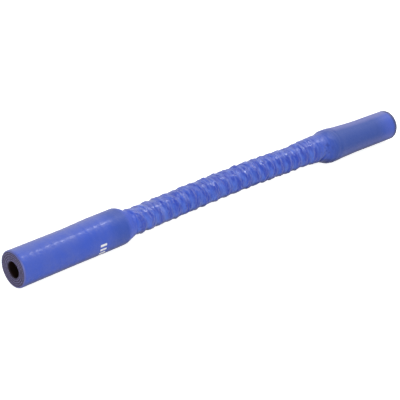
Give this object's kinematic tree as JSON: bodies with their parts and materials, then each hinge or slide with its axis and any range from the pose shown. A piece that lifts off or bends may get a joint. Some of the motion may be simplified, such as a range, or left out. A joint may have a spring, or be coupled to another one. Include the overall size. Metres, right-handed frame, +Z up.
{
  "type": "silicone hose",
  "caption": "Straight silicone hose with smooth thick cuffs and a thinner, helically ridged flexible middle, for small coolant or air lines in an engine bay.",
  "frame": {"origin": "centre of the bounding box, at the level of the surface that the hose lies on", "axes": "+X from the near, longer cuff to the far, shorter cuff; +Y towards the outside of the slight bend; +Z up"},
  "size_m": [0.3306, 0.0248, 0.023],
  "materials": {
    "silicone": "blue silicone with a cloth-wrapped satin skin, dark grey on the cut ends and in the bore"
  },
  "bodies": {
    "root": {"hose": "silicone"}
  },
  "joints": []
}
